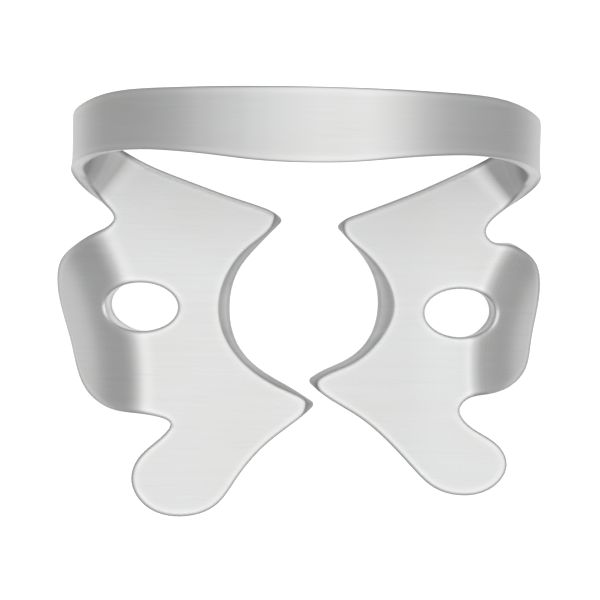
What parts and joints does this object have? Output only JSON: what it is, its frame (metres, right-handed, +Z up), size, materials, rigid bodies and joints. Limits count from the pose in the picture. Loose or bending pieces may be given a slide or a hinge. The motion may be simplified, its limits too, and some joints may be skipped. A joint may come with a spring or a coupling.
{
  "type": "rubber dam clamp",
  "caption": "Winged molar clamp of bent spring steel: two jaws with prongs grip a tooth, a bow spans behind it, and wings hold the rubber sheet",
  "frame": {"origin": "Middle of the tooth opening, level with the flat undersides of the two jaws", "axes": "+X across the clamp towards the smaller jaw, +Y along the dental arch towards the bow, +Z up from the gum towards the top of the bow"},
  "size_m": [0.03, 0.0268, 0.0214],
  "materials": {
    "steel": "satin brushed spring steel with tumbled edges and ground bites"
  },
  "bodies": {
    "root": {"clamp": "steel"}
  },
  "joints": []
}
